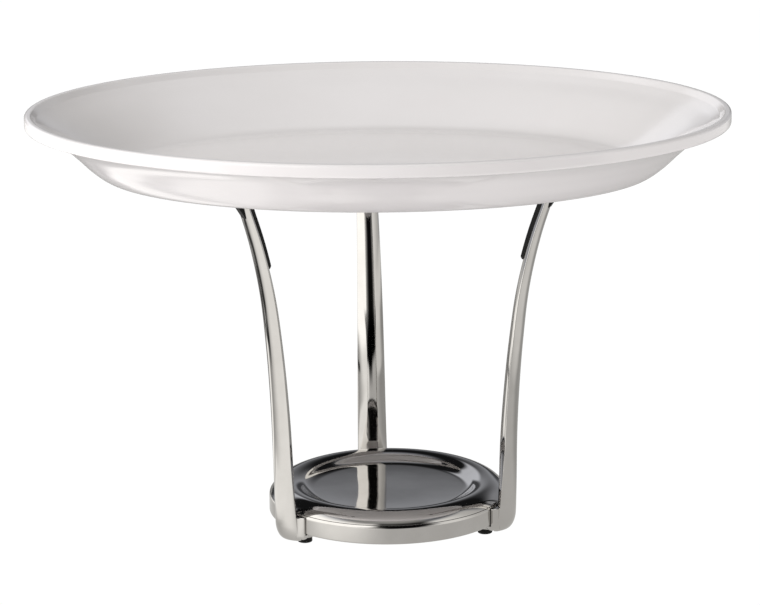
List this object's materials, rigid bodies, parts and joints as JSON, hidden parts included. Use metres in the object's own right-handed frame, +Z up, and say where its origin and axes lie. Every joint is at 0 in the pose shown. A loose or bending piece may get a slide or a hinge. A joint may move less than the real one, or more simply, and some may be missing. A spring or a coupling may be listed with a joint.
{
  "type": "buffet stand",
  "caption": "Round polished steel base with a shallow dish and curved, rubber-gripped legs that hold an oval porcelain platter, which lifts straight off.",
  "frame": {"origin": "on the table, straight under the centre of the platter", "axes": "+Z up, +X along the platter's long axis, -Y towards the viewer of the picture"},
  "size_m": [0.402, 0.292, 0.2454],
  "materials": {
    "polished_steel": "mirror-polished stainless steel",
    "screw_steel": "plain stainless steel fasteners",
    "rubber": "smooth black rubber",
    "porcelain": "glossy white glazed porcelain"
  },
  "bodies": {
    "stand": {"base_ring": "polished_steel", "base_dish": "polished_steel", "leg_back": "polished_steel", "grip_back": "rubber", "rubber_foot_back": "rubber", "leg_screw_back": "screw_steel", "foot_screw_back": "screw_steel", "leg_left": "polished_steel", "grip_left": "rubber", "rubber_foot_left": "rubber", "leg_screw_left": "screw_steel", "foot_screw_left": "screw_steel", "leg_right": "polished_steel", "grip_right": "rubber", "rubber_foot_right": "rubber", "leg_screw_right": "screw_steel", "foot_screw_right": "screw_steel", "dish_screw_1": "screw_steel", "dish_screw_2": "screw_steel", "dish_screw_3": "screw_steel"},
    "platter": {"platter": "porcelain"}
  },
  "joints": [
    {"name": "platter_lift", "type": "slide", "parent": "stand", "child": "platter", "axis": [0, 0, 1], "range_m": [0, 0.12]}
  ]
}
